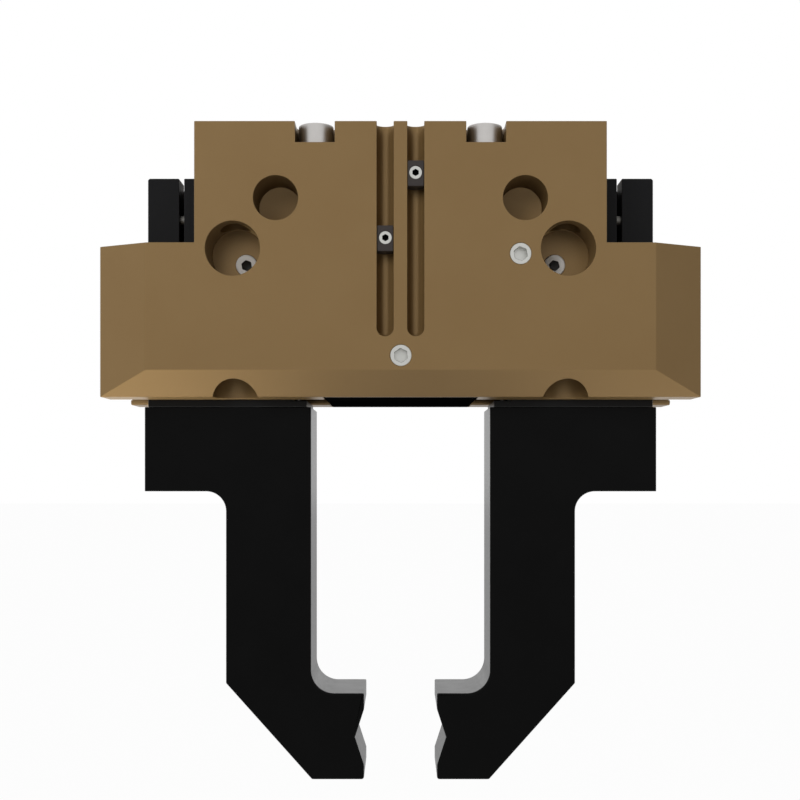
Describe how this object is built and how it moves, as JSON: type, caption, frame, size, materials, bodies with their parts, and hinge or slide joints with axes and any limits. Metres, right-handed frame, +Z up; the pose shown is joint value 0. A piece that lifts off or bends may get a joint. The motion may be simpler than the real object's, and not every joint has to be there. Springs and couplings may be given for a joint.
{
  "type": "pneumatic parallel gripper",
  "caption": "Pneumatic parallel gripper with a bronze-brown stepped housing, wedge-driven base jaws and black L-shaped fingers with notched pads.",
  "frame": {"origin": "centre of the top mounting face", "axes": "+Z up out of the mounting face with the fingers hanging down, +X along the jaws' travel, to the right as seen from the slotted front, -Y out of the front"},
  "size_m": [0.16, 0.064, 0.1767],
  "materials": {
    "bronze_anodised": "hard-anodised, bronze brown, satin",
    "black_anodised": "black anodised, smooth",
    "black_steel": "blackened and ground",
    "turned_steel": "turned, bright",
    "hardened_steel": "ground",
    "zinc_screws": "zinc plated",
    "black_screws": "black oxide",
    "bearing_bronze": "plain bearing bronze",
    "plain_aluminium": "machined",
    "magnet_nickel": "nickel plated",
    "switch_plastic": "moulded, matt",
    "seal_rubber": "matt"
  },
  "bodies": {
    "housing": {"housing": "bronze_anodised", "cylinder_cover": "bronze_anodised", "cover_seal": "seal_rubber", "cover_screws": "zinc_screws", "threaded_inserts": "turned_steel", "rod_bush": "bearing_bronze", "rod_seal": "seal_rubber", "bottom_cover": "black_steel", "bottom_cover_screws": "black_screws", "magnetic_switches": "switch_plastic", "switch_screws": "zinc_screws", "right_bracket": "black_anodised", "left_bracket": "black_anodised", "bracket_screws": "black_screws", "clamp_screws": "black_screws", "front_plugs": "zinc_screws", "angled_plugs": "zinc_screws"},
    "drive": {"wedge_block": "hardened_steel", "piston": "plain_aluminium", "piston_seal": "seal_rubber", "piston_magnets": "magnet_nickel", "piston_screw": "zinc_screws"},
    "jaw_left": {"left_base_jaw": "black_steel", "left_finger": "black_anodised", "left_finger_screws": "black_screws", "left_centring_sleeves": "turned_steel"},
    "jaw_right": {"right_base_jaw": "black_steel", "right_finger": "black_anodised", "right_finger_screws": "black_screws", "right_centring_sleeves": "turned_steel"}
  },
  "joints": [
    {"name": "jaw_right_slide", "type": "slide", "parent": "housing", "child": "jaw_right", "axis": [1, 0, 0], "range_m": [-0.0042, 0.0058]},
    {"name": "jaw_left_slide", "type": "slide", "parent": "housing", "child": "jaw_left", "axis": [-1, 0, 0], "range_m": [-0.0042, 0.0058]},
    {"name": "drive_slide", "type": "slide", "parent": "housing", "child": "drive", "axis": [0, 0, 1], "range_m": [-0.00525, 0.00725]}
  ],
  "couplings": [
    {"joint": "jaw_left_slide", "follows": "jaw_right_slide", "ratio": 1},
    {"joint": "drive_slide", "follows": "jaw_right_slide", "ratio": 1.25}
  ]
}
